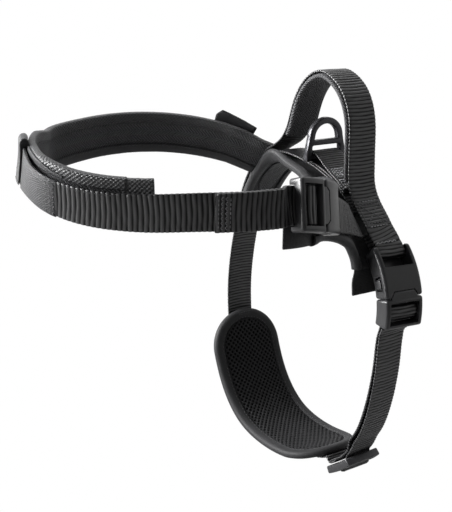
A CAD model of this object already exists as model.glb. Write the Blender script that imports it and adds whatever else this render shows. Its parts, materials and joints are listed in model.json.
"""Looks of a dog body harness: ribbed webbing, bound pads, open mesh, moulded buckles, stitching.

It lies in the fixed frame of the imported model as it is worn: front towards -x, near side at -y,
far side at +y, up +z. The chest loop rounds the front; the saddle, the handle above it and the
girth loop below it lie near x = 0. Lengths are millimetres, scaled once when a mesh is written;
the stage is in metres. Places on a ribbon are given along it, across it and out from it.
"""
import json
import math

import bmesh
import bpy
import numpy as np
from mathutils import Matrix, Vector


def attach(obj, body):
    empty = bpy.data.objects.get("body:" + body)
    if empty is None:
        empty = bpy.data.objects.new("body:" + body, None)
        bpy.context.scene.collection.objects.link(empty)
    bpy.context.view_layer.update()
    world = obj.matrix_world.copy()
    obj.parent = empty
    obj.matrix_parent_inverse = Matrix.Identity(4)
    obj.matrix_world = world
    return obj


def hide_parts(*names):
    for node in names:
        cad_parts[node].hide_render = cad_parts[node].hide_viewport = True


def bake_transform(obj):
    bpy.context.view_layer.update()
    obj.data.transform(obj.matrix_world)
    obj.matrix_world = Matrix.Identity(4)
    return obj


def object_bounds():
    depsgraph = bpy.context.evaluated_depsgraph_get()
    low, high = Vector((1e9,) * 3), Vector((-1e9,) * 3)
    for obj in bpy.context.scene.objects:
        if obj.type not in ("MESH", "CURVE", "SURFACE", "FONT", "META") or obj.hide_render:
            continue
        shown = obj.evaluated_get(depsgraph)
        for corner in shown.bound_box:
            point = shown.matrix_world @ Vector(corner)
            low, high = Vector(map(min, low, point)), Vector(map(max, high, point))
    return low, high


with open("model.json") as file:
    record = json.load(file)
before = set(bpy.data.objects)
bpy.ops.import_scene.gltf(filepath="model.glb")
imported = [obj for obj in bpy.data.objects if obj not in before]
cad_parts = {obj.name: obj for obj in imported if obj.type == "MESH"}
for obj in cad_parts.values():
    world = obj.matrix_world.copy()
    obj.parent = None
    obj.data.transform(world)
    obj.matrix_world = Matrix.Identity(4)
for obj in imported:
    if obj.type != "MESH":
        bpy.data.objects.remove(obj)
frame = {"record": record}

CAD_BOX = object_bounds()
RECORD = frame["record"]
BODY_OF = {node: body for body, nodes in RECORD["behaviour"]["bodies"].items() for node in nodes}
EXTRA = "none"  # node name of a piece that replaces no packed one

# ---- driving dimensions (mm) ----
WEB = 25.0  # webbing width
WEB_T = 1.9  # webbing thickness
GAP = 0.3  # space between neighbouring pieces
BUCKLE_FEMALE = -28.5  # closed buckle: place of its female end along its arc, from the middle
BUCKLE_MALE = 29.0  # place of its male end
BUCKLE_SPLIT = 8.0  # joint face between the two halves
BUCKLE_W = 34.0
BUCKLE_T = 13.0
BUCKLE_R = 60.0  # radius of the buckle's curve at mid thickness
SLOT_HALF = 13.2  # half width of the openings for webbing
BAR_HALF = 14.5  # half width of the bars let into buckle and slider
PAD_HALF = 34.0  # half width of the girth pad
PAD_T = 6.0
PAD_END = 35.0  # length of its rounded ends
PAD_TOP = -2.3  # outer face of its binding, clear of the strap
UNDERLAY_T = 4.0
HANDLE_PAD_T = 5.0
RING_T = 5.0  # D-ring stock thickness
RING_Y = 5.0  # D-ring plane
RING_BAR_Z = 17.6  # height of the bar the ring turns on

# Chest loop, centre of the band (x, y, z), from the near buckle round the front to the far
# side of the saddle; last column: lean in degrees, top edge inwards
CHEST_POINTS = [
    (-119.0, -110.6, 14.4, -2.0), (-140.0, -107.4, 14.6, -3.0), (-168.1, -97.2, 14.9, -6.7),
    (-194.4, -82.4, 14.8, -9.7), (-217.9, -64.9, 15.7, -12.3), (-236.3, -44.5, 19.7, -13.4),
    (-244.3, -22.1, 26.0, -8.0), (-242.6, 0.0, 31.6, 5.0), (-236.4, 21.9, 32.6, 9.6),
    (-225.6, 43.5, 28.6, 9.0), (-209.6, 64.3, 26.0, 6.9), (-195.1, 86.1, 27.3, 3.0),
    (-169.3, 100.3, 29.6, 6.0), (-139.1, 108.5, 31.2, 9.0), (-105.4, 109.1, 31.0, 12.0),
    (-70.4, 100.8, 27.5, 15.0), (-38.0, 83.5, 19.5, 17.0), (-16.0, 66.0, 10.0, 18.0),
]
CHEST_MIDDLE = (-110.0, 0, 20.0)
# Torso curve (y, z), outer face of the saddle webbing: near buckle, far girth strap, pad
TORSO_POINTS = [
    (-80.0, -92.0), (-79.0, -76.0), (-75.2, -60.0), (-69.4, -46.5), (-61.6, -34.5),
    (-51.6, -22.0), (-40.0, -10.2), (-28.0, -1.0), (-14.0, 6.0), (0.0, 10.8), (15.0, 14.5),
    (30.0, 16.8), (44.0, 17.0), (58.0, 13.6), (71.0, 5.4), (83.0, -8.5), (93.5, -28.0),
    (102.0, -52.0), (108.5, -76.0), (112.5, -101.0), (114.0, -125.0), (112.5, -145.0),
    (108.5, -163.0), (102.5, -181.0), (94.0, -198.5), (82.0, -214.0), (65.0, -226.5),
    (44.0, -233.0), (20.0, -234.5), (-4.0, -231.5), (-21.0, -226.0), (-33.0, -219.0),
    (-41.0, -212.5),
]
TORSO_MIDDLE = (0, 20, -110)
GIRTH_SKEW = -0.06  # drift of the girth loop in x per mm of y, on the far side
GIRTH_X = -1.0  # middle of the girth loop in x, on the near side
# Handle, outer face of its webbing (y, z), near buckle to far leg
HANDLE_POINTS = [
    (-68.6, -34.0), (-57.5, -20.0), (-46.6, -8.5), (-41.5, 1.0), (-40.0, 14.0), (-39.7, 30.0),
    (-39.3, 46.0), (-36.0, 59.0), (-28.5, 71.0), (-16.5, 80.0), (-3.0, 83.8), (9.0, 80.5),
    (19.5, 72.0), (27.5, 60.0), (32.5, 47.0), (37.0, 35.5), (45.0, 25.6), (58.0, 18.0),
    (72.0, 8.6), (85.0, -6.4), (95.0, -26.0),
]
# Near girth strap, outer layer (y, z), buckle to slider
NEAR_GIRTH_POINTS = [
    (-80.6, -101.0), (-79.4, -112.0), (-78.8, -123.0), (-77.6, -134.0), (-75.6, -146.0),
    (-73.2, -158.0), (-70.0, -170.0), (-66.0, -181.5), (-60.5, -192.5), (-54.6, -201.0),
]
# Slider curve (y, z), where the near side turns under
SLIDER_POINTS = [
    (-67.0, -190.0), (-61.5, -200.5), (-55.0, -209.5), (-47.0, -217.5), (-38.0, -224.0),
    (-28.0, -230.0), (-16.0, -235.0),
]
NEAR_YAW = math.radians(3.0)  # turn of the near girth strap about z
YAWED = (math.cos(NEAR_YAW), math.sin(NEAR_YAW), 0.0)
ALONG_X = (1.0, 0, 0)


# ---- curves and frames ----
def unit(vectors):
    vectors = np.asarray(vectors, float)
    return vectors / np.linalg.norm(vectors, axis=-1, keepdims=True)


def walk(path):
    """Length from the start to each point of a polyline."""
    return np.r_[0, np.cumsum(np.linalg.norm(np.diff(path, axis=0), axis=1))]


def sample(places, lengths, table):
    """Each column of a table, interpolated at the places."""
    return np.stack([np.interp(places, lengths, column) for column in table.T], 1)


def spline(points, per_span=12):
    """Natural cubic spline through the points, as a dense polyline."""
    points = np.asarray(points, float)
    spans = np.diff(walk(points[:, :3]))
    slopes = np.diff(points, axis=0) / spans[:, None]
    count = len(points)
    matrix = np.zeros((count, count))
    right = np.zeros_like(points)
    matrix[0, 0] = matrix[-1, -1] = 1
    for i in range(1, count - 1):
        matrix[i, i - 1 : i + 2] = spans[i - 1], 2 * (spans[i - 1] + spans[i]), spans[i]
        right[i] = 3 * (slopes[i] - slopes[i - 1])
    square = np.linalg.solve(matrix, right)
    pieces = []
    for i, span in enumerate(spans):
        cube = (square[i + 1] - square[i]) / (3 * span)
        linear = slopes[i] - span * (2 * square[i] + square[i + 1]) / 3
        step = np.linspace(0, span, per_span, endpoint=False)[:, None]
        pieces.append(points[i] + linear * step + square[i] * step**2 + cube * step**3)
    return np.vstack(pieces + [points[-1:]])


def resample(points, step):
    points = np.asarray(points, float)
    lengths = walk(points)
    places = np.linspace(0, lengths[-1], max(2, int(lengths[-1] / step)))
    return sample(places, lengths, points)


def soften(path, passes):
    """Evens out the kinks of a polyline, keeping its ends."""
    path = np.array(path, float)
    for _ in range(passes):
        path[1:-1] = (path[:-2] + 2 * path[1:-1] + path[2:]) / 4
    return path


def even_out(path, across, passes):
    """Resamples and softens a path together with its across directions, weighted as lengths."""
    both = soften(resample(np.hstack([path, 20 * np.asarray(across)]), 0.9), passes)
    return both[:, :3], both[:, 3:]


def square_to(across, tangent):
    across = np.asarray(across, float)
    return unit(across - (across * tangent).sum(1, keepdims=True) * tangent)


def stations(start, end, step):
    return np.linspace(start, end, max(2, int(round(abs(end - start) / step)) + 1))


def ease(value, low, high):
    """Smooth step from 0 at low to 1 at high."""
    part = np.clip((np.asarray(value, float) - low) / (high - low), 0, 1)
    return part * part * (3 - 2 * part)


def arc_points(centre, radii, start, end, count):
    """Points on an upright ellipse; angles in degrees."""
    angles = np.radians(np.linspace(start, end, count))
    return [(centre[0] + radii[0] * math.cos(angle), centre[1] + radii[1] * math.sin(angle))
            for angle in angles]


class Ribbon:
    """A path with a tangent, a side direction and an outward normal at each point."""

    def __init__(self, path, across, outward):
        self.path = np.asarray(path, float)
        self.lengths = walk(self.path)
        self.length = self.lengths[-1]
        self.tangent = unit(np.gradient(self.path, self.lengths, axis=0))
        self.side = square_to(across, self.tangent)
        normal = np.cross(self.tangent, self.side)
        self.normal = normal if (normal * outward).sum() > 0 else -normal

    def frame(self, along):
        """Point, tangent, side and normal; beyond the ends the ribbon goes on straight."""
        along = np.atleast_1d(np.asarray(along, float))
        held = np.clip(along, 0, self.length)
        tables = (self.path, self.tangent, self.side, self.normal)
        point, tangent, side, normal = (sample(held, self.lengths, table) for table in tables)
        tangent = unit(tangent)
        return point + (along - held)[:, None] * tangent, tangent, unit(side), unit(normal)

    def map(self, along, across=0.0, out=0.0):
        point, _, side, normal = self.frame(along)
        return (point + np.atleast_1d(across)[:, None] * side
                + np.atleast_1d(out)[:, None] * normal)

    def near(self, point):
        """Place along the ribbon nearest a point."""
        return float(self.lengths[np.linalg.norm(self.path - point, axis=1).argmin()])


class Arc:
    """A buckle's exact circle arc, bulging towards -y; along = 0 is its middle."""

    def __init__(self, middle, along, across):
        self.side = unit(across)
        along = np.asarray(along, float)
        self.tangent = unit(along - (along @ self.side) * self.side)
        normal = np.cross(self.tangent, self.side)
        self.normal = normal if normal[1] < 0 else -normal
        self.centre = np.asarray(middle, float) - BUCKLE_R * self.normal

    def map(self, along, across=0.0, out=0.0):
        along, across, out = (np.atleast_1d(np.asarray(value, float))[:, None]
                              for value in (along, across, out))
        angle = along / BUCKLE_R
        radial = np.cos(angle) * self.normal + np.sin(angle) * self.tangent
        return self.centre + (BUCKLE_R + out) * radial + across * self.side


class Shift:
    """A ribbon read from another zero and at another height."""

    def __init__(self, ribbon, along, out):
        self.ribbon, self.along, self.out = ribbon, along, out

    def map(self, along, across=0.0, out=0.0):
        return self.ribbon.map(np.asarray(along) + self.along, across, np.asarray(out) + self.out)


def on_side(ribbon, points):
    """Points (along, out) in the middle of a ribbon's width."""
    points = np.asarray(points, float)
    return ribbon.map(points[:, 0], 0, points[:, 1])


# ---- procedural materials ----
class Shader:
    """Short calls for building a material's node tree."""

    def __init__(self, name):
        self.material = bpy.data.materials.new(name)
        self.material.use_nodes = True
        self.tree = self.material.node_tree
        self.surface = self.tree.nodes["Principled BSDF"].inputs

    def add(self, kind, operation=None, **values):
        node = self.tree.nodes.new(kind)
        if operation:
            node.operation = operation
        for name, value in values.items():
            node.inputs[name].default_value = value
        return node

    def feed(self, socket, value):
        """Links a node's output to a socket, or sets a plain value on it."""
        if isinstance(value, bpy.types.NodeSocket):
            self.tree.links.new(value, socket)
        else:
            socket.default_value = value

    def maths(self, operation, *terms):
        node = self.add("ShaderNodeMath", operation)
        for socket, term in zip(node.inputs, terms):
            self.feed(socket, term)
        return node.outputs[0]

    def noise(self, scale, detail):
        coords = self.add("ShaderNodeTexCoord")
        node = self.add("ShaderNodeTexNoise", Scale=scale, Detail=detail, Roughness=0.6)
        self.feed(node.inputs["Vector"], coords.outputs["Object"])
        return node.outputs["Fac"]

    def uv(self):
        coords = self.add("ShaderNodeTexCoord")
        split = self.add("ShaderNodeSeparateXYZ")
        self.feed(split.inputs[0], coords.outputs["UV"])
        return split.outputs[0], split.outputs[1]

    def ramp(self, value, low, high, to_low, to_high):
        limits = {"From Min": low, "From Max": high, "To Min": to_low, "To Max": to_high}
        node = self.add("ShaderNodeMapRange", **limits)
        self.feed(node.inputs["Value"], value)
        return node.outputs["Result"]

    def pointiness(self):
        return self.add("ShaderNodeNewGeometry").outputs["Pointiness"]

    def colour(self, base, tone):
        node = self.add("ShaderNodeVectorMath", "SCALE")
        node.inputs[0].default_value = base
        self.feed(node.inputs["Scale"], tone)
        self.feed(self.surface["Base Color"], node.outputs[0])

    def bump(self, height, strength, distance):
        """Bump of the surface, its distance in millimetres."""
        node = self.add("ShaderNodeBump", Strength=strength, Distance=distance * 0.001)
        self.feed(node.inputs["Height"], height)
        self.feed(self.surface["Normal"], node.outputs[0])


def weave_height(shader, weave, pitch):
    """Height 0..1 of the thread pattern; UVs are in millimetres."""
    u, v = shader.uv()
    turns = 2 * math.pi / pitch
    maths = shader.maths
    if weave == "plain":
        ridges = [maths("ABSOLUTE", maths("SINE", maths("MULTIPLY", axis, turns / 2)))
                  for axis in (u, v)]
        return maths("MAXIMUM", *ridges)
    if weave == "basket":
        waves = [maths("SINE", maths("MULTIPLY", axis, turns)) for axis in (u, v)]
        wave = maths("MULTIPLY", *waves)
    else:  # "twill", slanting threads; in "chevron" they turn back from band to band
        slant = 0.6
        if weave == "chevron":
            v = maths("PINGPONG", v, 4.5)
            slant = 1.1
        slope = maths("ADD", maths("MULTIPLY", u, turns), maths("MULTIPLY", v, turns * slant))
        wave = maths("SINE", slope)
    return maths("MULTIPLY_ADD", wave, 0.5, 0.5)


def cloth(name, grey, blue, rough, weave, pitch, bump, sheen, ridge, spec, contrast, groove=None):
    shader = Shader(name)
    ramp, maths, surface = shader.ramp, shader.maths, shader.surface
    height = weave_height(shader, weave, pitch)
    patches = shader.noise(scale=45.0, detail=2.0)
    fine = shader.noise(scale=1400.0, detail=2.0)
    worn = ramp(shader.pointiness(), 0.49, 0.56, 0.0, 1.0)
    tone = maths("MULTIPLY", ramp(patches, 0.3, 0.7, 0.8, 1.2),
                 ramp(height, 0.0, 1.0, 1.0 - contrast, 1.0 + 0.5 * contrast))
    tone = maths("MULTIPLY", tone, ramp(fine, 0.25, 0.75, 0.8, 1.2))
    tone = maths("MULTIPLY", tone, maths("MULTIPLY_ADD", worn, ridge, 1.0 - ridge * 0.35))
    if groove is not None:  # hollows between ribs, or holes of a net, are darker than the crests
        node = shader.add("ShaderNodeAttribute")
        node.attribute_name = "relief"
        relief = node.outputs["Fac"]
        tone = maths("MULTIPLY", tone, ramp(relief, 0.15, 1.0, groove, 1.35))
        shader.feed(surface["Specular IOR Level"], ramp(relief, 0.2, 0.9, spec * 0.15, spec))
        shader.feed(surface["Sheen Weight"], ramp(relief, 0.2, 0.9, sheen * 0.1, sheen))
    shader.colour((grey, grey, blue), tone)
    shader.feed(surface["Roughness"], ramp(patches, 0.3, 0.7, rough - 0.06, rough + 0.06))
    surface["Specular IOR Level"].default_value = spec
    surface["Sheen Weight"].default_value = sheen
    surface["Sheen Roughness"].default_value = 0.45
    surface["Sheen Tint"].default_value = (0.55, 0.56, 0.6, 1)
    thread_height = maths("ADD", height, maths("MULTIPLY", fine, 0.6))
    shader.bump(thread_height, strength=0.9, distance=bump)
    return shader.material


def hard(name, base, rough, metallic, grain, edge, spec):
    """Plastic or metal: grain is its bump in mm, edge how much its edges brighten."""
    shader = Shader(name)
    ramp, maths, surface = shader.ramp, shader.maths, shader.surface
    patches = shader.noise(scale=60.0, detail=3.0)
    fine = shader.noise(scale=2600.0, detail=2.0)
    worn = ramp(shader.pointiness(), 0.505, 0.56, 1.0, 1.0 + edge)
    shader.colour(base, maths("MULTIPLY", worn, ramp(patches, 0.3, 0.7, 0.85, 1.15)))
    roughness = maths("ADD", ramp(patches, 0.3, 0.7, rough - 0.05, rough + 0.05),
                      ramp(fine, 0.3, 0.7, -0.03, 0.03))
    shader.feed(surface["Roughness"], roughness)
    surface["Metallic"].default_value = metallic
    surface["Coat Roughness"].default_value = 0.2
    surface["Specular IOR Level"].default_value = spec
    shader.bump(fine, strength=0.5, distance=grain)
    return shader.material


# Name; colour (red and green, blue); roughness; weave, its pitch and bump (mm); sheen;
# lightening of raised places; specular; contrast of the threads; tone left in the hollows
CLOTHS = [
    ("ribbed_webbing", 0.0105, 0.0112, 0.34, "twill", 0.75, 0.06, 0.05, 0.3, 0.75, 0.45, 0.07),
    ("plain_webbing", 0.0125, 0.0135, 0.52, "twill", 1.3, 0.15, 0.05, 0.5, 0.3, 0.45),  # spare
    ("bound_edge", 0.0165, 0.0176, 0.50, "plain", 1.1, 0.14, 0.05, 0.4, 0.3, 0.45),
    ("smooth_tape", 0.0150, 0.0160, 0.48, "basket", 1.9, 0.22, 0.06, 0.4, 0.35, 0.5),
    ("open_mesh", 0.036, 0.038, 0.56, "chevron", 2.6, 0.45, 0.05, 0.5, 0.3, 0.6),
    ("spacer_mesh", 0.0065, 0.007, 0.60, "plain", 0.6, 0.05, 0.01, 0.3, 0.16, 0.45, 0.06),
    ("basket_cloth", 0.019, 0.0203, 0.48, "basket", 2.9, 0.55, 0.06, 0.4, 0.5, 0.7),
    ("woven_cloth", 0.0135, 0.0145, 0.54, "plain", 1.2, 0.2, 0.05, 0.4, 0.3, 0.45),
    ("sewing_thread", 0.030, 0.032, 0.50, "twill", 0.5, 0.02, 0.04, 0.4, 0.3, 0.45),
    ("pale_sewing_thread", 0.30, 0.31, 0.50, "twill", 0.5, 0.02, 0.08, 0.4, 0.4, 0.45),
    ("soft_sewing_thread", 0.10, 0.105, 0.50, "twill", 0.5, 0.02, 0.06, 0.4, 0.4, 0.45),
    ("moulded_rim", 0.0125, 0.0133, 0.62, "plain", 1.0, 0.06, 0.04, 0.3, 0.22, 0.2),
]
LOOKS = {row[0]: cloth(*row) for row in CLOTHS}
LOOKS["moulded_plastic"] = hard("moulded_plastic", base=(0.011, 0.011, 0.0118), rough=0.34,
                                metallic=0.0, grain=0.03, edge=1.6, spec=0.4)
LOOKS["coated_metal"] = hard("coated_metal", base=(0.042, 0.042, 0.046), rough=0.26,
                             metallic=0.6, grain=0.01, edge=0.6, spec=0.5)


# ---- surface unevenness ----
def wobble(points, size):
    """A soft uneven height field over space, the same on every run."""
    x, y, z = np.moveaxis(np.asarray(points, float), -1, 0)
    broad = np.sin(0.21 * x + 0.6) * np.sin(0.18 * y + 1.1) * np.cos(0.16 * z)
    middle = 0.5 * np.sin(0.47 * x + 0.31 * z) * np.cos(0.41 * y - 0.2)
    return size * (broad + middle + 0.3 * np.sin(0.9 * x - 0.8 * y + 0.7 * z))


def chance(number, seed):
    """An even scatter in 0..1 for whole numbers."""
    return np.modf(np.abs(np.sin((number + 1) * 12.9898 + seed * 78.233) * 43758.5453))[0]


def pucker(rings, amount, pitch, uneven):
    """Gathers a tube lightly, as by a seam."""
    middle = rings.mean(1, keepdims=True)
    length = walk(middle[:, 0])
    wave = amount * np.sin(2 * np.pi * length / pitch + 1.3 * np.sin(length * 0.11))[:, None]
    return rings + unit(rings - middle + 1e-9) * (wave + wobble(rings, uneven))[..., None]


# ---- meshes ----
PIECES = []  # every piece made: (object, piece name, node name)


def evaluated(obj):
    """The mesh of an object with its modifiers applied."""
    bpy.context.view_layer.update()
    graph = bpy.context.evaluated_depsgraph_get()
    return bpy.data.meshes.new_from_object(obj.evaluated_get(graph))


def write(name, verts, faces, look, uv=None, node=None, sharp=None, sub=0, relief=None):
    """Makes a finished piece from points in millimetres; sharp is an angle in degrees."""
    node = node or name
    mesh = bpy.data.meshes.new(name + "_mesh")
    points = np.asarray(verts, float) * 0.001
    mesh.from_pydata(points.tolist(), [], [[int(i) for i in face] for face in faces])
    if uv is not None:
        layer = mesh.uv_layers.new(name="UVMap")
        corners = np.empty(len(mesh.loops), np.int64)
        mesh.loops.foreach_get("vertex_index", corners)
        layer.data.foreach_set("uv", np.asarray(uv, float)[corners].astype(np.float32).ravel())
    bm = bmesh.new()
    bm.from_mesh(mesh)
    bmesh.ops.recalc_face_normals(bm, faces=bm.faces)
    if bm.calc_volume(signed=True) < 0:
        bmesh.ops.reverse_faces(bm, faces=bm.faces)
    bm.to_mesh(mesh)
    bm.free()
    if relief is not None:
        attribute = mesh.attributes.new("relief", "FLOAT", "POINT")
        attribute.data.foreach_set("value", np.asarray(relief, np.float32).ravel())
    mesh.shade_smooth()
    if sharp:
        mesh.set_sharp_from_angle(angle=math.radians(sharp))
    obj = bpy.data.objects.new(name + "_finished", mesh)
    mesh.materials.append(LOOKS[look])
    bpy.context.scene.collection.objects.link(obj)
    if sub:
        modifier = obj.modifiers.new("soft", "SUBSURF")
        modifier.levels = modifier.render_levels = sub
        done = evaluated(obj)
        obj.modifiers.clear()
        obj.data = done
        done.shade_smooth()
    if node in BODY_OF:
        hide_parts(node)
    PIECES.append((obj, name, node))


def ring_uv(rings):
    lengths = walk(rings.mean(1)), walk(rings[0])
    return np.stack(np.meshgrid(*lengths, indexing="ij"), -1).reshape(-1, 2)


def tube_faces(count, size, base=0, closed=False):
    """Faces joining `count` rings of `size` points, capped unless closed on themselves."""
    faces = []
    for i in range(count if closed else count - 1):
        this, following = base + i * size, base + (i + 1) % count * size
        for j in range(size):
            k = (j + 1) % size
            faces.append((this + j, this + k, following + k, following + j))
    if not closed:
        faces.append(tuple(base + j for j in range(size))[::-1])
        faces.append(tuple(base + (count - 1) * size + j for j in range(size)))
    return faces


def loft(name, rings, look, closed=False, sub=1, node=None, uv=None, relief=None):
    rings = np.asarray(rings, float)
    if sub and not closed:  # extra rings by the ends keep them square when smoothed
        first, last = rings[:1], rings[-1:]
        after = first + 0.1 * (rings[1:2] - first)
        before = last + 0.1 * (rings[-2:-1] - last)
        rings = np.concatenate([first, after, rings[1:-1], before, last])
    faces = tube_faces(*rings.shape[:2], closed=closed)
    uv = ring_uv(rings) if uv is None else uv
    write(name, rings.reshape(-1, 3), faces, look, uv=uv, sub=sub, node=node, relief=relief)


def sides(section):
    return zip(section, np.roll(section, -1, 0))


def split_sides(section, counts):
    """Adds points along the sides of a section, so that it keeps its corners when smoothed."""
    return np.array([start + (end - start) * i / count
                     for (start, end), count in zip(sides(section), counts) for i in range(count)])


def sweep(name, ribbon, stops, section, look, gather=None, split=False):
    """Carries a section (across, out), given for each stop, along a ribbon.

    gather is the amount and pitch of its pucker; split divides its long sides.
    """
    middle = section(0.5 * (stops[0] + stops[-1]))
    counts = [max(1, int(np.linalg.norm(end - start) / 1.8)) for start, end in sides(middle)]
    rings = []
    for stop in stops:
        points = section(stop)
        if split:
            points = split_sides(points, counts)
        rings.append(ribbon.map(np.full(len(points), stop), points[:, 0], points[:, 1]))
    rings = np.array(rings)
    if gather:
        rings = pucker(rings, *gather, uneven=0.5 * gather[0])
    loft(name, rings, look)


def slab(width, thick, chamfer, across=0.0, out=0.0):
    """Section of a flat bar with its long corners taken off."""
    half, rise, cut = width / 2, thick / 2, min(chamfer, thick * 0.3)
    return np.array([
        (half - cut, rise), (-half + cut, rise), (-half, rise - cut), (-half, -rise + cut),
        (-half + cut, -rise), (half - cut, -rise), (half, -rise + cut), (half, rise - cut),
    ]) + (across, out)


def web_section(flat_count=11, edge_count=4):
    """Outline of webbing with rolled edges: points (across, out) and outward directions."""
    rise = WEB_T / 2
    roll = rise * 0.9
    reach = WEB / 2 - roll
    flat = np.linspace(reach, -reach, flat_count)
    turns = np.linspace(0, np.pi, edge_count + 2)[1:-1]
    points, outward = [], []
    for sign in (1, -1):
        points += [(sign * x, sign * rise) for x in flat]
        points += [(-sign * (reach + roll * math.sin(turn)), sign * rise * math.cos(turn))
                   for turn in turns]
        outward += [(0, sign)] * flat_count
        outward += [(-sign * math.sin(turn), sign * math.cos(turn)) for turn in turns]
    return np.array(points), np.array(outward)


def strap(name, path, across, pitch=2.7, part=None, node=None):
    """Webbing whose threads stand up as round ribs across it; returns path, side, normal."""
    path = np.asarray(path, float)
    across = np.asarray(across, float) * np.ones_like(path)
    kept = np.r_[True, np.linalg.norm(np.diff(path, axis=0), axis=1) > 1e-6]
    path, across = path[kept], across[kept]
    lengths = walk(path)
    start, end = part or (0, lengths[-1])
    along = np.linspace(start, end, int((end - start) / (pitch / 7)))
    path = soften(sample(along, lengths, path), 2)
    tangent = unit(np.gradient(path, axis=0))
    tangent[1:-1] = unit(tangent[:-2] + tangent[1:-1] + tangent[2:])
    side = square_to(sample(along, lengths, across), tangent)
    normal = np.cross(tangent, side)
    section, outward = web_section()
    width = section[:, 0][None, :]
    column = along[:, None]
    bow = 0.10 * pitch * np.sin(width * 0.21 + 1.7)
    bow = bow * (0.5 + chance(np.floor(along / pitch), 3)[:, None])
    rib = np.abs(np.sin(np.pi * (column + bow) / pitch)) ** 0.8
    rib = rib * (0.86 + 0.28 * chance(np.floor((column + bow) / pitch), 0))
    # threads lie in small slanting steps along each rib
    rib = rib + 0.07 * np.sin(2 * np.pi * (width / 1.25 + column / pitch * 0.5))
    edge = np.clip((WEB / 2 - np.abs(width)) / 1.2, 0.45, 1)
    worn = 0.10 * np.sin(column * 0.13) * np.sin(width * 0.2)
    offset = -0.62 * (1 - rib) * edge + worn
    sway = 0.10 * np.sin(column * 0.09)
    sideways = width + outward[:, 0] * offset + sway
    out = section[:, 1] + outward[:, 1] * offset
    rings = (path[:, None] + sideways[..., None] * side[:, None]
             + out[..., None] * normal[:, None])
    uv = np.stack(np.meshgrid(along, walk(section), indexing="ij"), -1).reshape(-1, 2)
    loft(name, rings, "ribbed_webbing", uv=uv, sub=0, node=node, relief=np.clip(rib, 0, 1.15))
    return path, side, normal


def slice_up(bm, axis, step, dist, slack=0.0):
    """Cuts a mesh by evenly spaced planes square to an axis."""
    values = [vert.co[axis] for vert in bm.verts]
    i = math.ceil(min(values) / step + slack)
    while i * step < max(values) - slack:
        place, normal = [0, 0, 0], [0, 0, 0]
        place[axis], normal[axis] = i * step, 1
        geometry = bm.verts[:] + bm.edges[:] + bm.faces[:]
        bmesh.ops.bisect_plane(bm, geom=geometry, dist=dist, plane_co=place, plane_no=normal)
        i += 1


def split_large_faces(bm):
    bmesh.ops.triangulate(bm, faces=[face for face in bm.faces if len(face.verts) > 4])


def points_and_faces(bm):
    bm.verts.index_update()
    points = np.array([vert.co for vert in bm.verts])
    return points, [[vert.index for vert in face.verts] for face in bm.faces]


def surface_normal(place, first, second):
    """Normal of the surface place(first, second), from small steps to either side."""
    step = 0.5
    return unit(np.cross(place(first + step, second) - place(first - step, second),
                         place(first, second + step) - place(first, second - step)))


def sheet(name, outline, place, thick, look, crown=0.0):
    """A soft panel with rounded edges and an uneven surface; crown is its rise in the middle."""
    outline = np.asarray(outline, float)
    bm = bmesh.new()
    bm.faces.new([bm.verts.new((*point, 0)) for point in outline])
    for axis in (0, 1):
        slice_up(bm, axis, step=2.6, dist=1e-4)
    bmesh.ops.remove_doubles(bm, verts=bm.verts, dist=0.08)
    split_large_faces(bm)
    points, faces = points_and_faces(bm)
    flat = points[:, :2]
    rim = []
    for edge in bm.edges:
        if len(edge.link_faces) == 1:
            around = [vert.index for vert in edge.link_faces[0].verts]
            start, end = (vert.index for vert in edge.verts)
            if around[(around.index(start) + 1) % len(around)] != end:
                start, end = end, start
            rim.append((start, end))
    bm.free()
    middle = place(flat[:, 0], flat[:, 1])
    normal = surface_normal(place, flat[:, 0], flat[:, 1])
    distance = np.full(len(flat), 1e9)  # to the outline
    for corner, side in zip(outline, np.roll(outline, -1, 0) - outline):
        part = np.clip(((flat - corner) @ side) / max(side @ side, 1e-9), 0, 1)
        gap = np.linalg.norm(flat - corner - part[:, None] * side, axis=1)
        distance = np.minimum(distance, gap)
    edge = 1 - np.clip(distance / (thick * 0.9), 0, 1)
    half = thick / 2 * np.sqrt(np.clip(1 - 0.72 * edge**2, 0, 1))
    rise = crown * np.clip(distance / 12, 0, 1) ** 0.6 + wobble(middle, 0.10)
    count = len(middle)
    verts = np.vstack([middle + normal * (half + rise)[:, None],
                       middle - normal * (half - 0.6 * rise)[:, None]])
    faces = (faces + [[i + count for i in face[::-1]] for face in faces]
             + [[end, start, start + count, end + count] for start, end in rim])
    write(name, verts, faces, look, uv=np.vstack([flat, flat]), sub=1)


# ---- moulded solids, built flat and then laid on a curve ----
def temporary(bm):
    mesh = bpy.data.meshes.new("temp")
    bm.to_mesh(mesh)
    bm.free()
    obj = bpy.data.objects.new("temp", mesh)
    bpy.context.scene.collection.objects.link(obj)
    return obj


def prism(outline, bottom, top):
    bm = bmesh.new()
    low = [bm.verts.new((x, y, bottom)) for x, y in outline]
    high = [bm.verts.new((x, y, top)) for x, y in outline]
    bm.faces.new(low[::-1])
    bm.faces.new(high)
    for i in range(len(outline)):
        j = (i + 1) % len(outline)
        bm.faces.new((low[i], low[j], high[j], high[i]))
    bmesh.ops.recalc_face_normals(bm, faces=bm.faces)
    return temporary(bm)


def box(start, end, half, bottom, top, bevel=0.0, segments=0):
    """A block from start to end in x, of a half width in y, from bottom to top in z."""
    bm = bmesh.new()
    bmesh.ops.create_cube(bm, size=1.0)
    for vert in bm.verts:
        x, y, z = vert.co
        vert.co = ((start + end) / 2 + x * (end - start), y * 2 * half,
                   (bottom + top) / 2 + z * (top - bottom))
    if bevel:
        bmesh.ops.bevel(bm, geom=bm.edges[:], offset=bevel, segments=segments,
                        affect="EDGES", profile=0.5)
    return temporary(bm)


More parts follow.
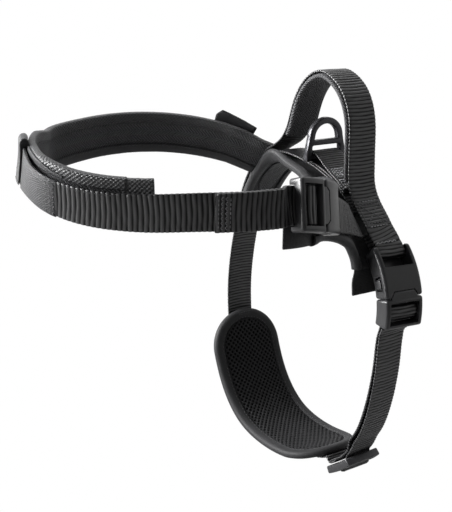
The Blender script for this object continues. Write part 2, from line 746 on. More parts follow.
def combine(base, others, operation):
    for other in others:
        modifier = base.modifiers.new("b", "BOOLEAN")
        modifier.solver, modifier.operation, modifier.object = "EXACT", operation, other
        done = evaluated(base)
        base.modifiers.clear()
        base.data = done
        bpy.data.objects.remove(other, do_unlink=True)
    return base


def lay_on(name, flat, ribbon):
    """Lays a flat moulded solid on the ribbon in fine steps, its edges eased."""
    modifier = flat.modifiers.new("ease", "BEVEL")
    modifier.width, modifier.segments = 0.32, 2
    modifier.limit_method, modifier.angle_limit = "ANGLE", math.radians(38)
    modifier.use_clamp_overlap = True
    bm = bmesh.new()
    bm.from_mesh(evaluated(flat))
    bpy.data.objects.remove(flat, do_unlink=True)
    split_large_faces(bm)
    slice_up(bm, 0, step=1.3, dist=1e-5, slack=1e-6)
    bmesh.ops.remove_doubles(bm, verts=bm.verts, dist=2e-3)
    bmesh.ops.dissolve_degenerate(bm, edges=bm.edges, dist=1e-3)
    split_large_faces(bm)
    points, faces = points_and_faces(bm)
    bm.free()
    verts = ribbon.map(points[:, 0], points[:, 1], points[:, 2])
    write(name, verts, faces, "moulded_plastic", uv=points[:, :2], sharp=32)


# ---- guide ribbons ----
def chest_ribbon():
    rows = spline(CHEST_POINTS)
    path, lean = rows[:, :3], np.radians(rows[:, 3:])
    tangent = unit(np.gradient(path, walk(path), axis=0))
    outward = unit(np.stack([tangent[:, 1], -tangent[:, 0], 0 * tangent[:, 0]], 1))
    outward *= np.sign((outward * (path - CHEST_MIDDLE)).sum(1, keepdims=True))
    return Ribbon(path, -np.sin(lean) * outward + np.cos(lean) * np.array([0, 0, 1.0]), outward)


def side_ribbon(points, centre, across=ALONG_X):
    """A ribbon over points (y, z), facing away from the centre."""
    y, z = spline(points).T
    path = np.stack([GIRTH_X + GIRTH_SKEW * np.maximum(y, 0), y, z], 1)
    return Ribbon(path, across, path - np.asarray(centre, float))


CHEST = chest_ribbon()
TORSO = side_ribbon(TORSO_POINTS, TORSO_MIDDLE)
HANDLE = side_ribbon(HANDLE_POINTS, (0, 0, -60))
NEAR_GIRTH = side_ribbon(NEAR_GIRTH_POINTS, TORSO_MIDDLE, YAWED)
# Buckles: middle of the arc, direction towards the male half, direction across
GIRTH_ARC = Arc((-0.2, -83.2, -64.4), (-0.048, -0.346, -0.937), (0.999, -0.035, -0.038))
CHEST_ARC = Arc((-87.8, -104.5, 9.0), (-0.849, -0.46, 0.26), (0.137, 0.283, 0.949))


def stop(y, z):
    """Place along the torso ribbon nearest a point of the y-z plane."""
    gaps = np.hypot(TORSO.path[:, 1] - y, TORSO.path[:, 2] - z)
    return float(TORSO.lengths[gaps.argmin()])


# ---- chest loop: webbing ----
FRONT = CHEST.near((-242.6, 0, 31.6))
SLEEVE_START = CHEST.near((-210, -71, 15.2))  # near end of the padded sleeve
TAB_START = CHEST.near((-196, -81.5, 14.8))
SLEEVE_END = CHEST.near((-44, 87, 21))
LEASH_LOOP = CHEST.near((-237.5, 18, 32.6))
FRONT_STAND = 0.9  # extra stand-off at the front, where the leash loop passes behind


def web_out(along):
    """Mid plane of the chest webbing, outward of the guide."""
    along = np.asarray(along, float)
    front = FRONT_STAND * (1 - ease(np.abs(along - FRONT), 22, 60))
    return 1.9 + front - 0.9 * (1 - ease(along, 0, 30))


def tail_out(along):
    """Mid plane of the doubled end over the chest webbing."""
    return web_out(along) + WEB_T + GAP


# Webbing round the bar of a male half (along, out), from the outer layer to the inner one
WRAP = [
    (32.4, -2.5), (28.4, -2.5), (26.0, -2.1), (24.6, -0.6), (23.6, 1.5), (22.0, 3.3),
    (20.0, 4.1), (17.8, 4.2), (15.6, 3.5), (14.0, 2.0), (13.4, 0.0), (13.8, -2.1),
    (15.2, -3.9), (17.6, -4.8), (21.4, -4.95), (26.4, -4.95), (32.4, -4.95),
]


def repeat(direction, points):
    """The same direction for each of the points."""
    return np.tile(direction, (len(points), 1))


tail_stops = stations(48.5, 6.0, 2.0)
main_stops = stations(6.0, CHEST.near((-38, 83.5, 19.5)), 2.5)
chest_path = np.vstack([
    CHEST.map(tail_stops, 0, tail_out(tail_stops)),
    on_side(CHEST_ARC, WRAP),
    CHEST.map(main_stops, 0, web_out(main_stops)),
    [(-27.5, 78.4, 14.6), (-21.0, 75.0, 10.6)],
])
chest_across = np.vstack([
    CHEST.frame(tail_stops)[2], repeat(CHEST_ARC.side, WRAP), CHEST.frame(main_stops)[2],
    [(-0.08, -0.4, 0.9), (-0.06, -0.5, 0.85)],
])
strap("chest_webbing", *even_out(chest_path, unit(chest_across), 3), pitch=3.2)

# Near leg from the saddle to the female half of the chest buckle: points and across directions
LEG = [(-15.5, -51.8, -22.4), (-25.0, -58.4, -17.6), (-36.0, -65.0, -12.8),
       (-46.0, -71.6, -9.0), (-54.5, -76.6, -5.6)]
LEG_ACROSS = [(0, 0.66, 0.75), (0, 0.5, 0.86), (0, 0.36, 0.93), (0.08, 0.3, 0.95),
              (0.12, 0.28, 0.95)]
# Round the bar of the female half (along, out)
LEG_WRAP = [
    (-33.8, 1.9), (-30.8, 3.7), (-28.4, 4.3), (-26.0, 4.2), (-23.5, 3.5), (-21.9, 2.0),
    (-21.4, 0.0), (-21.9, -2.0), (-23.5, -3.5), (-26.0, -4.2), (-28.8, -4.2), (-32.4, -3.4),
]
LEG_BACK = [(-60.5, -77.6, -4.8), (-57.0, -76.0, -6.0)]
leg_path = np.vstack([LEG, on_side(CHEST_ARC, LEG_WRAP), LEG_BACK])
leg_across = np.vstack([LEG_ACROSS, repeat(CHEST_ARC.side, LEG_WRAP),
                        repeat(LEG_ACROSS[-1], LEG_BACK)])
LEG_STRAP = strap("chest_leg_webbing_near", *even_out(leg_path, unit(leg_across), 2))


# ---- chest loop: padded sleeve ----
def lift(along):
    """The sleeve sits higher than the webbing on the near side and at the front."""
    return 4.2 - 3.4 * ease(along, FRONT - 10, FRONT + 70)


def lift_top(along):
    """The upper edge dips where the sleeve rounds the front."""
    return (4.2 - 5.7 * ease(along, 150, 200) + 6.9 * ease(along, 204, 238)
            - 4.6 * ease(along, 246, 290))


FAR_END = [(-36.0, 82.5, 18.8), (-27.5, 78.4, 14.6), (-19.0, 74.0, 10.0), (-10.0, 69.5, 6.0)]
FAR_END_ACROSS = [(-0.1, -0.36, 0.92), (-0.08, -0.4, 0.9), (-0.06, -0.5, 0.85),
                  (-0.06, -0.52, 0.84)]
kept = CHEST.lengths <= SLEEVE_END
sleeve_path, sleeve_across = even_out(np.vstack([CHEST.path[kept], FAR_END]),
                                      np.vstack([CHEST.side[kept], FAR_END_ACROSS]), 2)
SLEEVE = Ribbon(sleeve_path, sleeve_across, sleeve_path - CHEST_MIDDLE)
sleeve_finish = SLEEVE.length - 1.0


def core_section(along):
    top, bottom = lift_top(along), lift(along)
    return np.array([(14.9 + top, -4.3), (14.9 + top, -1.1),
                     (-14.9 + bottom, -1.1), (-14.9 + bottom, -4.3)])


# Binding folded over an edge (across, out)
FOLD = np.array([
    (8.6, -5.4), (15.9, -5.4), (16.5, -4.8), (16.5, -0.6), (15.9, 0.0), (8.6, 0.0),
    (8.6, -0.75), (15.3, -0.75), (15.3, -4.65), (8.6, -4.65),
])
END_TAB = np.array([(16.4, -4.6), (16.4, -0.8), (-18.0, -0.8), (-18.0, -4.6)]) + (3.9, 0)

sweep("chest_pad_core", SLEEVE, stations(SLEEVE_START, sleeve_finish, 2.5), core_section,
      "open_mesh", gather=(0.08, 7.0), split=True)
binding_stops = stations(SLEEVE_START, sleeve_finish, 2.2)
sweep("chest_pad_binding_upper", SLEEVE, binding_stops,
      lambda along: FOLD + (lift_top(along), 0), "basket_cloth", gather=(0.10, 4.6))
sweep("chest_pad_binding_lower", SLEEVE, binding_stops,
      lambda along: FOLD * (-1, 1) + (lift(along), 0), "bound_edge", gather=(0.10, 4.6))
sweep("chest_pad_end_tab", CHEST, stations(TAB_START, SLEEVE_START + 2.6, 2.0),
      lambda along: END_TAB, "basket_cloth", gather=(0.08, 9.0), split=True)


def piping_section(along):
    """Widens and rises towards the front."""
    grown = float(ease(along, FRONT - 46, FRONT - 14))
    across = 13.9 + float(lift_top(along)) - 2.5 * (1 - grown)
    return slab(1.6 + 2.2 * grown, thick=1.0, chamfer=0.22, across=across, out=0.7)


sweep("chest_pad_piping", CHEST, stations(FRONT - 45, LEASH_LOOP - 14.5, 2.0), piping_section,
      "smooth_tape", gather=(0.05, 6.0))

# ---- front leash loop: a flat hairpin over the top edge of the webbing ----
LOOP_OUT = 1.9 + FRONT_STAND + WEB_T / 2 + GAP + 0.6
LOOP_IN = 0.7
hoop = arc_points((15.2, (LOOP_OUT + LOOP_IN) / 2 + 0.6), (3.2, 0.6 + (LOOP_OUT - LOOP_IN) / 2),
                  90, -90, 10)
hairpin = np.array(
    [(-12.6, LOOP_OUT), (-4.0, LOOP_OUT), (5.0, LOOP_OUT + 0.05), (10.5, LOOP_OUT + 0.5)]
    + hoop + [(11.0, LOOP_IN), (6.0, LOOP_IN), (-4.0, LOOP_IN), (-12.0, LOOP_IN)])
slope = unit(np.gradient(hairpin, walk(hairpin), axis=0))
half_layer = 0.5 * np.stack([-slope[:, 1], slope[:, 0]], 1)
hairpin = np.vstack([hairpin + half_layer, (hairpin - half_layer)[::-1]])
sweep("front_leash_loop", CHEST, stations(LEASH_LOOP - 13, LEASH_LOOP + 12, 1.6),
      lambda along: hairpin, "smooth_tape", gather=(0.03, 3.0))

FAR_TAB = CHEST.near((-50, 92, 23))
FAR_TAB_END = CHEST.length - 18
sheet("far_side_tab",
      [(FAR_TAB, -14), (FAR_TAB_END, -14), (FAR_TAB_END + 6, 19), (FAR_TAB + 4, 25), (FAR_TAB, 20)],
      lambda along, across: CHEST.map(along, across, 4.6), 1.3, "woven_cloth")

# ---- saddle ----
JOINT = stop(-51.6, -22)  # where the near chest leg leaves the saddle
FLAP = stop(-71.8, -51.0)  # where the near girth flap leaves it
LEG_GUIDE = spline([
    (-16.0, -46.6, -25.0), (-30.0, -56.0, -18.5), (-45.0, -64.6, -12.0), (-60.0, -71.6, -7.0),
    (-74.0, -80.0, -4.0), (-84.0, -89.6, -1.6), (-93.0, -96.0, 0.0), (-104.0, -100.4, 1.0),
    (-124.0, -102.0, 2.0),
])


def saddle(along, x, depth=0.0):
    """Mid surface of the padded underlay, over places along the torso ribbon and x."""
    along, x = np.asarray(along, float), np.asarray(x, float)
    fold = (-6.9 - 2.4 * ease(along, stop(44, 17), stop(72, 5))
            - 1.3 * (1 - ease(along, FLAP, FLAP + 18)))
    flare = (0.42 * np.maximum(-x - 17, 0) * ease(along, JOINT + 6, stop(-14, 6))
             * (1 - ease(along, stop(58, 13.6), stop(90, -20))))
    curl = 6.0 * np.exp(-(((along - stop(46, 16.9)) / 15) ** 2)) * ease(-x, 12.6, 19)
    back = TORSO.map(along, x, fold + flare + curl + depth)
    guide = sample(-x, -LEG_GUIDE[:, 0], LEG_GUIDE)
    tilt = ease(-x, 16, 60)[:, None]
    up = unit((1 - tilt) * np.array([0, 0.66, 0.75]) + tilt * np.array([0.1, 0.24, 0.95]))
    side = np.cross(np.array(ALONG_X), up)
    leg = (np.stack([x, guide[:, 1], guide[:, 2]], 1) + (along - JOINT)[:, None] * up
           + side * depth)
    share = (ease(-x, 16, 36) * (1 - ease(np.abs(along - JOINT), 24, 46)))[:, None]
    return (1 - share) * back + share * leg


def rounded(points, passes):
    """Cuts the corners of a closed outline again and again."""
    points = np.asarray(points, float)
    for _ in range(passes):
        after = np.roll(points, -1, 0)
        cut = [0.75 * points + 0.25 * after, 0.25 * points + 0.75 * after]
        points = np.stack(cut, 1).reshape(-1, 2)
    return points


# Edges of the underlay (along the torso ribbon, x)
rear = spline([
    (FLAP, 12.5), (stop(-61, -34.5), 14), (JOINT, 17), (stop(-28, -1), 20), (stop(0, 10.8), 22),
    (stop(30, 16.8), 22), (stop(58, 13.6), 20), (stop(83, -8.5), 17), (stop(100, -48), 12),
], 6)
front = spline([
    (stop(100, -48), -15.5), (stop(93.5, -28), -17), (stop(83, -8.5), -17.5),
    (stop(71, 5.4), -18), (stop(58, 13.6), -18.5), (stop(44, 17), -18.5), (stop(30, 16.8), -20),
    (stop(15, 14.5), -23), (stop(0, 10.8), -27), (stop(-14, 6), -32), (stop(-28, -1), -40),
    (JOINT + 16, -52), (JOINT + 12, -66), (JOINT + 10, -91),
], 6)
corner = spline([
    (JOINT - 16.5, -91), (JOINT - 16, -70), (JOINT - 16, -52), (JOINT - 17, -42),
    (JOINT - 20, -34), (JOINT - 24, -29), (JOINT - 32, -26.5), (FLAP, -26),
], 6)
outline = np.vstack([rear, front, corner])
sheet("saddle_underlay", outline, saddle, UNDERLAY_T, "woven_cloth", crown=0.3)

turning = sum(here[0] * after[1] - here[1] * after[0] for here, after in sides(outline))
OUTWARD = 1.0 if turning < 0 else -1.0
TAPE_INSET = 0.8  # room between the underlay and its binding


def on_edge(line, places):
    """Points of an edge at the places, and directions out of the panel."""
    points = sample(places, walk(line), line)
    tangent = unit(np.gradient(points, places, axis=0))
    return points, np.stack([-tangent[:, 1], tangent[:, 0]], 1) * OUTWARD


def edge_tape(name, line):
    """Binding folded over an open run of the underlay's edge."""
    cover, wall = 5.0, 0.7
    half = UNDERLAY_T / 2 + TAPE_INSET
    skin = [(-cover, half + wall * 0.6), (-cover * 0.55, half + wall * 1.25),
            (0.2, half + wall * 0.9), (TAPE_INSET + wall, half * 0.5)]
    lining = [(-cover, half), (0.1, half), (TAPE_INSET, half * 0.45)]

    def flip(points):
        return [(away, -out) for away, out in points]

    profile = np.array(flip(skin) + [(TAPE_INSET + wall * 1.25, 0.0)] + skin[::-1]
                       + lining + flip(lining)[::-1])
    rings = []
    for point, away in zip(*on_edge(line, stations(0.4, walk(line)[-1] - 0.4, 1.7))):
        along, x = (point + profile[:, :1] * away).T
        normal = surface_normal(saddle, along, x)
        rings.append(saddle(along, x) + normal * profile[:, 1:])
    loft(name, pucker(np.array(rings), amount=0.08, pitch=4.4, uneven=0.06), "bound_edge")


edge_tape("saddle_binding_front", front)
edge_tape("saddle_binding_rear", rear)
edge_tape("saddle_binding_corner", corner)

inner = rounded([
    (JOINT + 4, -12), (stop(0, 10.8), -17), (stop(44, 17), -10.5), (stop(88, -18), -10),
    (stop(88, -18), 8), (stop(44, 17), 13), (stop(0, 10.8), 13), (JOINT + 4, 8),
], 2)
sheet("saddle_lining", inner, lambda along, x: saddle(along, x, -(UNDERLAY_T / 2 + 1.0)), 1.0,
      "open_mesh", crown=0.35)
CHEST_FLAP = [(JOINT - 17.5, -87.6), (JOINT + 10, -87.6), (JOINT + 10, -116), (JOINT - 16.5, -119)]
GIRTH_FLAP = [(FLAP + 5.0, 13), (FLAP + 5.0, -27), (FLAP - 19, -31), (FLAP - 19, 11)]
sheet("chest_flap_near", CHEST_FLAP, saddle, 1.8, "woven_cloth")
sheet("girth_flap_near", GIRTH_FLAP, saddle, 1.8, "woven_cloth")

# ---- handle ----
# Round the bar of the girth buckle's female half (along, out), inner layer first
HANDLE_WRAP = [
    (-29.3, -3.7), (-26.0, -3.85), (-23.5, -3.4), (-21.9, -2.0), (-21.4, 0.0), (-21.9, 2.0),
    (-23.5, 3.5), (-26.0, 4.2), (-28.4, 4.4), (-31.5, 4.4),
]
handle_stops = stations(HANDLE.near((0, -62.0, -26.0)), HANDLE.length - 2, 3.0)
handle_tail = TORSO.map([stop(-56, -28), stop(-60, -33), stop(-63.5, -37.2)],
                        [0.2, 0.8, 1.4], [-1.8, -1.8, -1.6])
handle_path = np.vstack([handle_tail, on_side(GIRTH_ARC, HANDLE_WRAP),
                         HANDLE.map(handle_stops, 0, -WEB_T / 2)])
handle_across = np.vstack([repeat(ALONG_X, handle_tail), repeat(GIRTH_ARC.side, HANDLE_WRAP),
                           repeat(ALONG_X, handle_stops)])
strap("handle_webbing", *even_out(handle_path, unit(handle_across), 2), pitch=2.75)
lining_section = slab(26.8, HANDLE_PAD_T - 0.5, chamfer=1.5,
                      out=-(WEB_T + GAP + HANDLE_PAD_T / 2) + 0.25)
lining_stops = stations(HANDLE.near((0, -41.0, 5.0)), HANDLE.near((0, 38.5, 32.0)), 1.35)
sweep("handle_lining", HANDLE, lining_stops, lambda along: lining_section, "open_mesh",
      gather=(0.05, 2.7))


# ---- D-ring and its keeper ----
def flat_ring():
    """The ring in its own plane: an arched outline with a round eye over a slot."""
    foot = RING_BAR_Z - 2.2
    outer = [(-18.2, foot - 1.0), (-13.4, foot - 1.0), (-13.4, foot), (13.4, foot),
             (13.4, foot - 1.0), (18.2, foot - 1.0), (19.0, foot + 1.5), (18.2, 23.0),
             (16.8, 29.0)]
    outer += arc_points((0, 32.0), (16.0, 15.2), 4, 176, 41)
    outer += [(-16.8, 29.0), (-18.2, 23.0), (-19.0, foot + 1.5)]
    eye = arc_points((0, 32.0), (10.7, 10.2), 0, 180, 41)
    eye += [(-11.2, 31.2), (-10.4, 30.4), (10.4, 30.4), (11.2, 31.2)]
    slot = [(-13.4, RING_BAR_Z + 2.2), (13.4, RING_BAR_Z + 2.2), (13.0, 25.4), (12.0, 26.2),
            (-12.0, 26.2), (-13.0, 25.4)]
    bevel = 1.2
    curve = bpy.data.curves.new("ring", "CURVE")
    curve.dimensions, curve.fill_mode = "2D", "BOTH"
    curve.extrude, curve.offset = RING_T / 2 - bevel, -bevel
    curve.bevel_depth, curve.bevel_resolution = bevel, 4
    for points in (outer, eye, slot):
        line = curve.splines.new("POLY")
        line.points.add(len(points) - 1)
        for point, (x, z) in zip(line.points, points):
            point.co = (x, z, 0, 1)
        line.use_cyclic_u = True
    obj = bpy.data.objects.new("ring", curve)
    bpy.context.scene.collection.objects.link(obj)
    bm = bmesh.new()
    bm.from_mesh(evaluated(obj))
    bmesh.ops.remove_doubles(bm, verts=bm.verts, dist=0.0005)
    points, faces = points_and_faces(bm)
    bm.free()
    bpy.data.objects.remove(obj, do_unlink=True)
    return points, faces


points, faces = flat_ring()
ring_verts = np.stack([GIRTH_X + points[:, 0], RING_Y - points[:, 2], points[:, 1]], 1)
write("d_ring", ring_verts, faces, "coated_metal", sharp=50)

# The keeper lies on the saddle webbing, turns round the ring's bar and comes back on top
near_half = len(TORSO.path) // 2
low = [(y, float(np.interp(y, *TORSO.path[:near_half, 1:].T)) + 1.45)
       for y in (-34.0, -26.0, -18.0, -10.0, -3.0)]
high = [(y, z + 2.35) for y, z in low]
high[-1] = (-3.0, high[-1][1] + 4.6)
high[-2] = (-10.0, high[-2][1] + 1.7)
around_bar = arc_points((RING_Y, RING_BAR_Z), (4.25, 4.25), -78, 112, 12)
keeper_path = [(GIRTH_X, y, z) for y, z in low + around_bar + high[::-1]]
KEEPER = strap("d_ring_keeper", soften(resample(keeper_path, 0.8), 5), ALONG_X, pitch=2.2)

# ---- curved side release buckles ----
# Latch outline (along, across), tongue outline and the recess it lies in
LATCH = [
    (BUCKLE_SPLIT, 8.8), (BUCKLE_SPLIT, 13.0), (5.0, 13.3), (2.0, 14.0), (1.8, 16.0),
    (0.0, 17.7), (-5.2, 17.7), (-7.4, 15.2), (-7.6, 11.6), (-3.6, 9.4), (3.0, 9.0),
]
TONGUE = [(BUCKLE_SPLIT + 2.5, 11.5), (BUCKLE_SPLIT - 0.8, 11.8), (BUCKLE_SPLIT - 4.2, 9.0)]
RECESS = [(BUCKLE_SPLIT + 3, 13.0), (BUCKLE_SPLIT - 0.5, 12.6), (BUCKLE_SPLIT - 4.6, 9.6)]
THROUGH = 20  # half height of cutters that pass right through


def both_sides(half):
    """A symmetric outline from its half at +y."""
    (first, start), *rest = half
    return [(first, -start), (first, start)] + rest + [(x, -y) for x, y in rest[::-1]]


def buckle(prefix, arc):
    half_w, half_t = BUCKLE_W / 2, BUCKLE_T / 2
    body = box(BUCKLE_FEMALE, BUCKLE_SPLIT, half_w, -half_t, half_t, bevel=2.0, segments=4)
    cuts = [
        box(-24.3, -13.0, SLOT_HALF, -THROUGH, THROUGH),  # opening beside the bar
        box(-40, -23.8, SLOT_HALF, 2.1, THROUGH),  # room above the bar
        box(-40, -23.8, SLOT_HALF, -THROUGH, -1.8),  # and below it
        box(-9.8, 20, 14.4, -3.6, 3.6),  # hollow
        box(-8.0, 2.4, 30, -3.0, 3.0),  # side windows for the latches
        prism(both_sides(RECESS), 3.0, THROUGH),
    ]
    lay_on(prefix + "_female", combine(body, cuts, "DIFFERENCE"), arc)
    body = box(BUCKLE_SPLIT + GAP, BUCKLE_MALE, half_w, -half_t, half_t, bevel=2.0, segments=4)
    cuts = [
        box(11.4, 26.2, SLOT_HALF, -THROUGH, THROUGH),  # opening round the bar
        box(25.0, 50, SLOT_HALF, -THROUGH, -0.5),  # room below the end
    ]
    body = combine(body, cuts, "DIFFERENCE")
    joins = [
        box(17.4, 20.0, BAR_HALF, -1.4, 1.4),  # bar
        prism(both_sides(TONGUE), 4.0, half_t - 0.25),
        box(-7.0, BUCKLE_SPLIT + 1.6, 3.6, -2.4, 2.4),  # middle guide
    ]
    lay_on(prefix + "_male", combine(body, joins, "UNION"), arc)
    mirrored = [(x, -y) for x, y in LATCH[::-1]]
    for label, arm in (("a", LATCH), ("b", mirrored)):
        lay_on(prefix + "_latch_" + label, prism(arm, -2.3, 2.3), arc)


buckle("girth_buckle", GIRTH_ARC)
lay_on("girth_buckle_back", box(-27.0, -12.6, 13.3, -5.4, -4.85), GIRTH_ARC)
buckle("chest_buckle", CHEST_ARC)

# ---- girth loop: slider and straps ----
slider_curve = side_ribbon(SLIDER_POINTS, TORSO_MIDDLE, YAWED)
SLIDER = Shift(slider_curve, slider_curve.near((0, -41.5, -221.5)), 1.8)
plate = box(-14.5, 14.5, 16.5, -3.0, 3.0, bevel=1.1, segments=3)
combine(plate, [box(-10.6, 12.0, SLOT_HALF, -9, 9)], "DIFFERENCE")
combine(plate, [box(-0.6, 2.4, BAR_HALF, -1.5, 1.5)], "UNION")
lay_on("tri_glide", plate, SLIDER)

# Near strap round the slider's bar (along, out), its end first
SLIDER_WRAP = [
    (-3.6, -2.8), (-1.6, -3.0), (2.0, -3.0), (4.2, -2.5), (5.2, -1.0), (5.2, 1.0), (4.2, 3.0),
    (1.6, 4.0), (-1.6, 3.9), (-4.4, 2.6), (-7.2, 0.0), (-8.6, -2.6), (-9.8, -4.4),
    (-12.0, -5.3), (-15.5, -5.7), (-20.0, -6.2),
]
UNDER_SLIDER = [(-17.0, -8.2), (-10.0, -7.4), (-4.0, -6.8), (4.0, -6.4), (12.0, -6.2)]
near_stops = stations(0.0, NEAR_GIRTH.length, 3.0)
inner_out = np.linspace(-WEB_T * 1.5 - GAP - 0.1, -WEB_T * 1.5 - 2.6, len(near_stops))
lower_part = np.vstack([on_side(SLIDER, SLIDER_WRAP),
                        NEAR_GIRTH.map(near_stops[:-2], 0, -WEB_T / 2)[::-1]])
inner_part = np.vstack([NEAR_GIRTH.map(near_stops, 0, inner_out)[1:],
                        on_side(SLIDER, UNDER_SLIDER)])
girth_path, girth_across = even_out(
    np.vstack([lower_part, on_side(GIRTH_ARC, WRAP), inner_part]),
    np.vstack([repeat(YAWED, lower_part), repeat(GIRTH_ARC.side, WRAP),
               repeat(YAWED, inner_part)]), 3)
# Two pieces: the end held in the slider, and the rest up to the buckle and back
lengths = walk(girth_path)
cut_point = NEAR_GIRTH.map(NEAR_GIRTH.length - 16, 0, -WEB_T / 2)
gaps = np.linalg.norm(girth_path - cut_point, axis=1)[: len(lengths) // 2]
cut = float(lengths[gaps.argmin()])
strap("girth_strap_near_lower", girth_path, girth_across, part=(0.0, cut),
      node="harness_strap_end")
strap("girth_strap_near", girth_path, girth_across, part=(cut - 0.05, lengths[-1]))

far_stops = stations(stop(60, 12.8), stop(-25, -224), 4.0)
under_saddle = 1 - ease(far_stops, stop(86, -14), stop(96, -36))
far_out = -WEB_T / 2 - (WEB_T + GAP) * under_saddle
strap("girth_strap_far", TORSO.map(far_stops, 0, far_out), ALONG_X)

# ---- girth pad ----
PAD_START = stop(113.6, -137)
PAD_STOP = stop(-26, -223.6)
PAD_BOTTOM = PAD_TOP - PAD_T  # inner face


def pad_half(along, inset):
    """Half width of the pad, for an outline drawn in by inset."""
    depth = np.clip(np.minimum(along - PAD_START, PAD_STOP - along), 0, PAD_END)
    round_part = 1 - ((PAD_END - depth) / (PAD_END - inset)) ** 2
    return (PAD_HALF - inset) * np.sqrt(np.clip(round_part, 0, 1))


def pad_outline():
    """Closed outline (along, across) of the pad, and its outward directions."""
    first, last = PAD_START + PAD_END, PAD_STOP - PAD_END
    angles = np.linspace(0, np.pi, 49)
    left = [(first - PAD_END * math.sin(turn), PAD_HALF * math.cos(turn)) for turn in angles]
    right = [(last + PAD_END * math.sin(turn), -PAD_HALF * math.cos(turn)) for turn in angles]
    straight = PAD_STOP - PAD_START - 2 * PAD_END
    count = int(straight / 2.4)
    bottom = [(first + straight * i / count, -PAD_HALF) for i in range(1, count)]
    top = [(last - straight * i / count, PAD_HALF) for i in range(1, count)]
    loop = np.array(left + bottom + right + top)
    tangent = unit(np.roll(loop, -1, 0) - np.roll(loop, 1, 0))
    away = np.stack([tangent[:, 1], -tangent[:, 0]], 1)
    return loop, away if ((loop - loop.mean(0)) * away).sum() >= 0 else -away


core_stops = np.r_[PAD_START + 2.2, stations(PAD_START + 6, PAD_STOP - 6, 7.0), PAD_STOP - 2.2]
sweep("girth_pad_core", TORSO, core_stops,
      lambda along: slab(2 * pad_half(along, 1.7), PAD_T - 1.8, chamfer=0.8,
                         out=PAD_TOP - PAD_T / 2),
      "moulded_rim", split=True)

PAD_LOOP, PAD_AWAY = pad_outline()
# Binding profile: away from the edge, out
PAD_BINDING = np.array([
    (-8.9, PAD_BOTTOM + 0.25), (-7.6, PAD_BOTTOM - 0.35), (-4.6, PAD_BOTTOM - 0.75),
    (-1.9, PAD_BOTTOM - 0.3), (-0.2, PAD_BOTTOM + 1.2), (0.1, (PAD_BOTTOM + PAD_TOP) / 2),
    (-0.2, PAD_TOP - 1.2), (-1.9, PAD_TOP + 0.05), (-5.0, PAD_TOP + 0.25),
    (-8.9, PAD_TOP - 0.05), (-8.6, PAD_TOP - 0.6), (-2.0, PAD_TOP - 0.6),
    (-1.2, PAD_TOP - 1.8), (-1.2, PAD_BOTTOM + 1.8), (-2.0, PAD_BOTTOM + 0.6),
    (-8.6, PAD_BOTTOM + 0.6),
])
rings = []
for point, away in zip(PAD_LOOP, PAD_AWAY):
    along, across = (point + PAD_BINDING[:, :1] * away).T
    rings.append(TORSO.map(along, across, PAD_BINDING[:, 1]))
loft("girth_pad_binding", rings, "moulded_rim", closed=True)

strap("saddle_webbing",
      TORSO.map(np.linspace(stop(-47, -17), stop(84, -10), 160), 0, -WEB_T / 2), ALONG_X)


def pad_mesh():
    """Open mesh inside the pad: staggered holes as real hollows, bulging in the middle."""
    face, crown, deep, back = PAD_BOTTOM + 0.9, 2.1, 1.1, 1.0
    pitch, step = 4.5, 0.56
    start, end = PAD_START + 8.9, PAD_STOP - 8.9
    stops = np.arange(start, end, step)
    halves = np.array([max(pad_half(along, 8.4), 2.0) for along in stops])
    rows, columns = len(stops), int(2 * halves.max() / step)
    along, share = np.meshgrid(stops, np.linspace(-1, 1, columns), indexing="ij")
    across = share * halves[:, None]
    weave = np.cos(2 * np.pi / (1.15 * pitch) * along) * np.cos(2 * np.pi / pitch * across)
    hole = ease(weave, 0.06, 0.46)
    ends = np.clip(np.minimum(along - start, end - along) / 9, 0, 1)
    rim = np.clip((1 - np.abs(share)) * halves[:, None] / 5.0, 0, 1) * ends
    hole = hole * np.clip(rim * 3, 0, 1)
    bulge = crown * np.sqrt(rim) * (0.75 + 0.25 * (1 - share**2))
    uneven = wobble(np.stack([along, across, 0 * along], -1), 0.12)
    top = face - (bulge - deep * hole) + uneven
    place = along.ravel(), across.ravel()
    verts = np.vstack([TORSO.map(*place, top.ravel()), TORSO.map(*place, face + back)])
    count = rows * columns
    faces = []
    for i in range(rows - 1):
        for j in range(columns - 1):
            k = i * columns + j
            faces.append((k, k + 1, k + columns + 1, k + columns))
            k += count
            faces.append((k, k + columns, k + columns + 1, k + 1))
    last = columns - 1
    edge = list(range(columns)) + [i * columns + last for i in range(1, rows)]
    edge += [(rows - 1) * columns + j for j in range(last - 1, -1, -1)]
    edge += [i * columns for i in range(rows - 2, 0, -1)]
    for i, j in zip(edge, edge[1:] + edge[:1]):
        faces.append((i, i + count, j + count, j))
    uv = np.stack(place, -1)
    relief = (1 - hole).ravel()
    write("girth_pad_mesh", verts, faces, "spacer_mesh", uv=np.vstack([uv, uv]),
          relief=np.r_[relief, relief])


pad_mesh()

# ---- smooth tape over the front of the chest webbing ----
TAPE_START = CHEST.near((-242.2, -40.3, 20.4))


def front_tape(name, start, end):
    rings = []
    for along in stations(start, end, 1.5):
        thin = 0.35 + 0.65 * float(np.clip(min(along - start, end - along) / 3.0, 0, 1))
        out = float(web_out(along)) + WEB_T / 2 - 0.5 + 0.48 * thin
        section = slab(WEB + 0.7, 0.95 * thin, chamfer=0.3 * thin, out=out)
        across, out = split_sides(section, [1, 10, 1, 1, 1, 10, 1, 1]).T
        uneven = wobble(np.stack([across + along, 0 * across, across], -1), 0.05)
        rings.append(CHEST.map(np.full(len(across), along), across, out + uneven))
    loft(name, rings, "smooth_tape", node=EXTRA)


front_tape("front_tape", TAPE_START, LEASH_LOOP - 13.4)
front_tape("front_tape_far", LEASH_LOOP + 12.4, LEASH_LOOP + 34)

